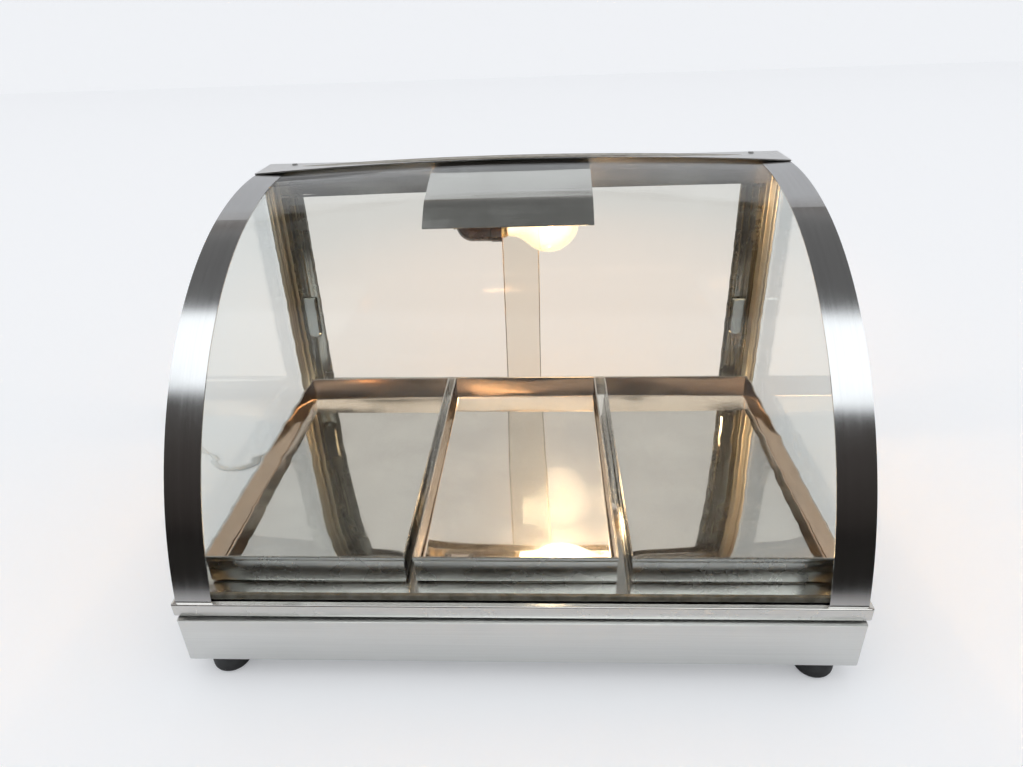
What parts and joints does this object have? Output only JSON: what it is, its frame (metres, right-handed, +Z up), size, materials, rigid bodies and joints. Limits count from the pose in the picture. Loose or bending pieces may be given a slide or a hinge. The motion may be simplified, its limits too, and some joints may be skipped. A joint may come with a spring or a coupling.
{
  "type": "countertop display warmer",
  "caption": "Countertop warming display case with a curved glass front, steel bands, lamp, loose trays and sliding rear glass doors.",
  "frame": {"origin": "centre of the footprint without the cord, on the surface the rubber feet stand on", "axes": "+X to the viewer's right along the case's length, +Y towards the rear doors, +Z up"},
  "size_m": [0.6229, 0.3936, 0.2806],
  "materials": {
    "brushed_steel": "satin",
    "polished_steel": "polished",
    "inner_steel": "dull",
    "clear_glass": "polished",
    "bulb_glass": "polished",
    "filament": "dull",
    "brass": "satin",
    "bakelite": "gloss",
    "pale_plastic": "matte",
    "black_plastic": "matte",
    "cord_white": "satin",
    "rubber": "matte",
    "seal": "satin",
    "heater_sheath": "oxidised",
    "lead_insulation": "satin",
    "fastener": "satin"
  },
  "bodies": {
    "case": {"base_shell": "brushed_steel", "bottom_plate": "inner_steel", "bulb_cap": "brass", "bulb_filament": "filament", "bulb_glass": "bulb_glass", "bulb_stem": "bulb_glass", "cord_coil": "cord_white", "cord_gland": "cord_white", "cord_lead": "cord_white", "cord_tail": "cord_white", "cord_tie": "black_plastic", "deck": "polished_steel", "foot_nuts": "fastener", "foot_screws": "fastener", "front_glass": "clear_glass", "front_seal": "seal", "heat_reflector": "inner_steel", "heater_brackets": "inner_steel", "heating_element": "heater_sheath", "internal_leads": "lead_insulation", "lamp_bracket": "brushed_steel", "lamp_holder": "bakelite", "lamp_lead": "lead_insulation", "lamp_shade": "brushed_steel", "left_band": "brushed_steel", "left_post": "brushed_steel", "left_seal": "seal", "left_side_glass": "clear_glass", "plug_body": "cord_white", "plug_pins": "brass", "rear_header": "brushed_steel", "rear_sill": "brushed_steel", "right_band": "brushed_steel", "right_post": "brushed_steel", "right_seal": "seal", "right_side_glass": "clear_glass", "rubber_feet": "rubber", "sensing_bulb": "brass", "sensor_clips": "inner_steel", "shade_screws": "fastener", "side_screws": "fastener", "switch_body": "black_plastic", "terminal_block": "pale_plastic", "thermostat_body": "pale_plastic", "top_plate": "brushed_steel", "top_screws": "fastener", "top_seal": "seal"},
    "left_door": {"left_door_glass": "clear_glass", "left_door_stile": "brushed_steel", "left_door_pull": "brushed_steel"},
    "right_door": {"right_door_glass": "clear_glass", "right_door_stile": "brushed_steel", "right_door_pull": "brushed_steel"},
    "left_tray": {"left_tray": "polished_steel"},
    "middle_tray": {"middle_tray": "polished_steel"},
    "right_tray": {"right_tray": "polished_steel"},
    "thermostat_knob": {"thermostat_knob": "black_plastic"},
    "switch_rocker": {"switch_rocker": "black_plastic"}
  },
  "joints": [
    {"name": "left_door_slide", "type": "slide", "parent": "case", "child": "left_door", "axis": [1, 0, 0], "range_m": [0, 0.18]},
    {"name": "right_door_slide", "type": "slide", "parent": "case", "child": "right_door", "axis": [-1, 0, 0], "range_m": [0, 0.18]},
    {"name": "left_tray_lift", "type": "slide", "parent": "case", "child": "left_tray", "axis": [0, 0, 1], "range_m": [0, 0.02]},
    {"name": "middle_tray_lift", "type": "slide", "parent": "case", "child": "middle_tray", "axis": [0, 0, 1], "range_m": [0, 0.02]},
    {"name": "right_tray_lift", "type": "slide", "parent": "case", "child": "right_tray", "axis": [0, 0, 1], "range_m": [0, 0.02]},
    {"name": "thermostat_turn", "type": "hinge", "parent": "case", "child": "thermostat_knob", "pos_m": [0.14, 0.153, 0.036], "axis": [0, -1, 0], "range_deg": [0, 270]},
    {"name": "lamp_switch_rock", "type": "hinge", "parent": "case", "child": "switch_rocker", "pos_m": [0.07, 0.1435, 0.036], "axis": [1, 0, 0], "range_deg": [-16, 0]}
  ]
}
